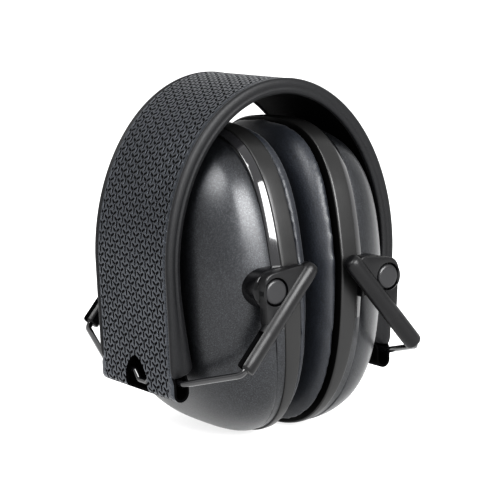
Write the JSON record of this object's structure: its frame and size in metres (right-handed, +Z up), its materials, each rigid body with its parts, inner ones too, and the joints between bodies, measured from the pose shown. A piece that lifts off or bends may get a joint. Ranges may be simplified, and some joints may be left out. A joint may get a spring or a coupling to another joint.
{
  "type": "folding earmuff hearing protector",
  "caption": "Over-the-head earmuff folded into a compact ball: oval cups with soft cushions swing out on wire yokes from a padded arched headband.",
  "frame": {"origin": "under the middle of the folded muff, level with the lowest points of the two cup rims", "axes": "+X towards the wearer's right cup, +Y to the wearer's rear, +Z up to the crown of the headband"},
  "size_m": [0.0846, 0.0944, 0.1098],
  "materials": {
    "band_cover": "charcoal rubbery cover with a fine raised relief",
    "band_spring": "hardened spring steel strip",
    "band_pad": "black soft padded lining",
    "band_binding": "matte black edge roll",
    "yoke_wire": "glossy black coated steel wire",
    "slider": "black satin moulded plastic",
    "pivot_stud": "dark grey satin moulded plastic",
    "cup_shell": "gunmetal metallic lacquered plastic",
    "cup_rim": "dark warm grey satin plastic",
    "back_plate": "black moulded plastic",
    "foam_liner": "dark grey open-cell foam",
    "ear_cushion": "blue-black soft vinyl"
  },
  "bodies": {
    "crown": {"crown_cover": "band_cover", "crown_spring": "band_spring", "crown_pad": "band_pad", "crown_bindings": "band_binding"},
    "arm_left": {"arm_cover_left": "band_cover", "arm_spring_left": "band_spring", "arm_pad_left": "band_pad", "arm_bindings_left": "band_binding"},
    "yoke_left": {"yoke_wire_left": "yoke_wire"},
    "carriage_left": {"slider_front_left": "slider", "slider_rear_left": "slider"},
    "cup_left": {"pivot_stud_front_left": "pivot_stud", "pivot_stud_rear_left": "pivot_stud", "cup_shell_left": "cup_shell", "cup_rim_left": "cup_rim", "back_plate_left": "back_plate", "foam_liner_left": "foam_liner", "ear_cushion_left": "ear_cushion"},
    "arm_right": {"arm_cover_right": "band_cover", "arm_spring_right": "band_spring", "arm_pad_right": "band_pad", "arm_bindings_right": "band_binding"},
    "yoke_right": {"yoke_wire_right": "yoke_wire"},
    "carriage_right": {"slider_front_right": "slider", "slider_rear_right": "slider"},
    "cup_right": {"pivot_stud_front_right": "pivot_stud", "pivot_stud_rear_right": "pivot_stud", "cup_shell_right": "cup_shell", "cup_rim_right": "cup_rim", "back_plate_right": "back_plate", "foam_liner_right": "foam_liner", "ear_cushion_right": "ear_cushion"}
  },
  "joints": [
    {"name": "spread_left", "type": "hinge", "parent": "crown", "child": "arm_left", "pos_m": [-0.01509, 0, 0.10642], "axis": [0, 1, 0], "range_deg": [0, 45]},
    {"name": "fold_left", "type": "hinge", "parent": "arm_left", "child": "yoke_left", "pos_m": [-0.0384, 0, 0.02161], "axis": [0, 1, 0], "range_deg": [0, 90]},
    {"name": "adjust_left", "type": "slide", "parent": "yoke_left", "child": "carriage_left", "axis": [0.6508, 0, 0.7593], "range_m": [0, 0.0072]},
    {"name": "tilt_left", "type": "hinge", "parent": "carriage_left", "child": "cup_left", "pos_m": [-0.0206, 0, 0.05051], "axis": [0, -1, 0], "range_deg": [0, 128]},
    {"name": "spread_right", "type": "hinge", "parent": "crown", "child": "arm_right", "pos_m": [0.01509, 0, 0.10642], "axis": [0, -1, 0], "range_deg": [0, 45]},
    {"name": "fold_right", "type": "hinge", "parent": "arm_right", "child": "yoke_right", "pos_m": [0.0384, 0, 0.02161], "axis": [0, -1, 0], "range_deg": [0, 90]},
    {"name": "adjust_right", "type": "slide", "parent": "yoke_right", "child": "carriage_right", "axis": [-0.6508, 0, 0.7593], "range_m": [0, 0.0072]},
    {"name": "tilt_right", "type": "hinge", "parent": "carriage_right", "child": "cup_right", "pos_m": [0.0206, 0, 0.05051], "axis": [0, 1, 0], "range_deg": [0, 128]}
  ],
  "couplings": [
    {"joint": "spread_left", "follows": "fold_left", "ratio": 0.5},
    {"joint": "adjust_left", "follows": "fold_left", "m_per_rad": 0.004583},
    {"joint": "tilt_left", "follows": "fold_left", "ratio": 1.42},
    {"joint": "spread_right", "follows": "fold_right", "ratio": 0.5},
    {"joint": "adjust_right", "follows": "fold_right", "m_per_rad": 0.004583},
    {"joint": "tilt_right", "follows": "fold_right", "ratio": 1.42}
  ]
}
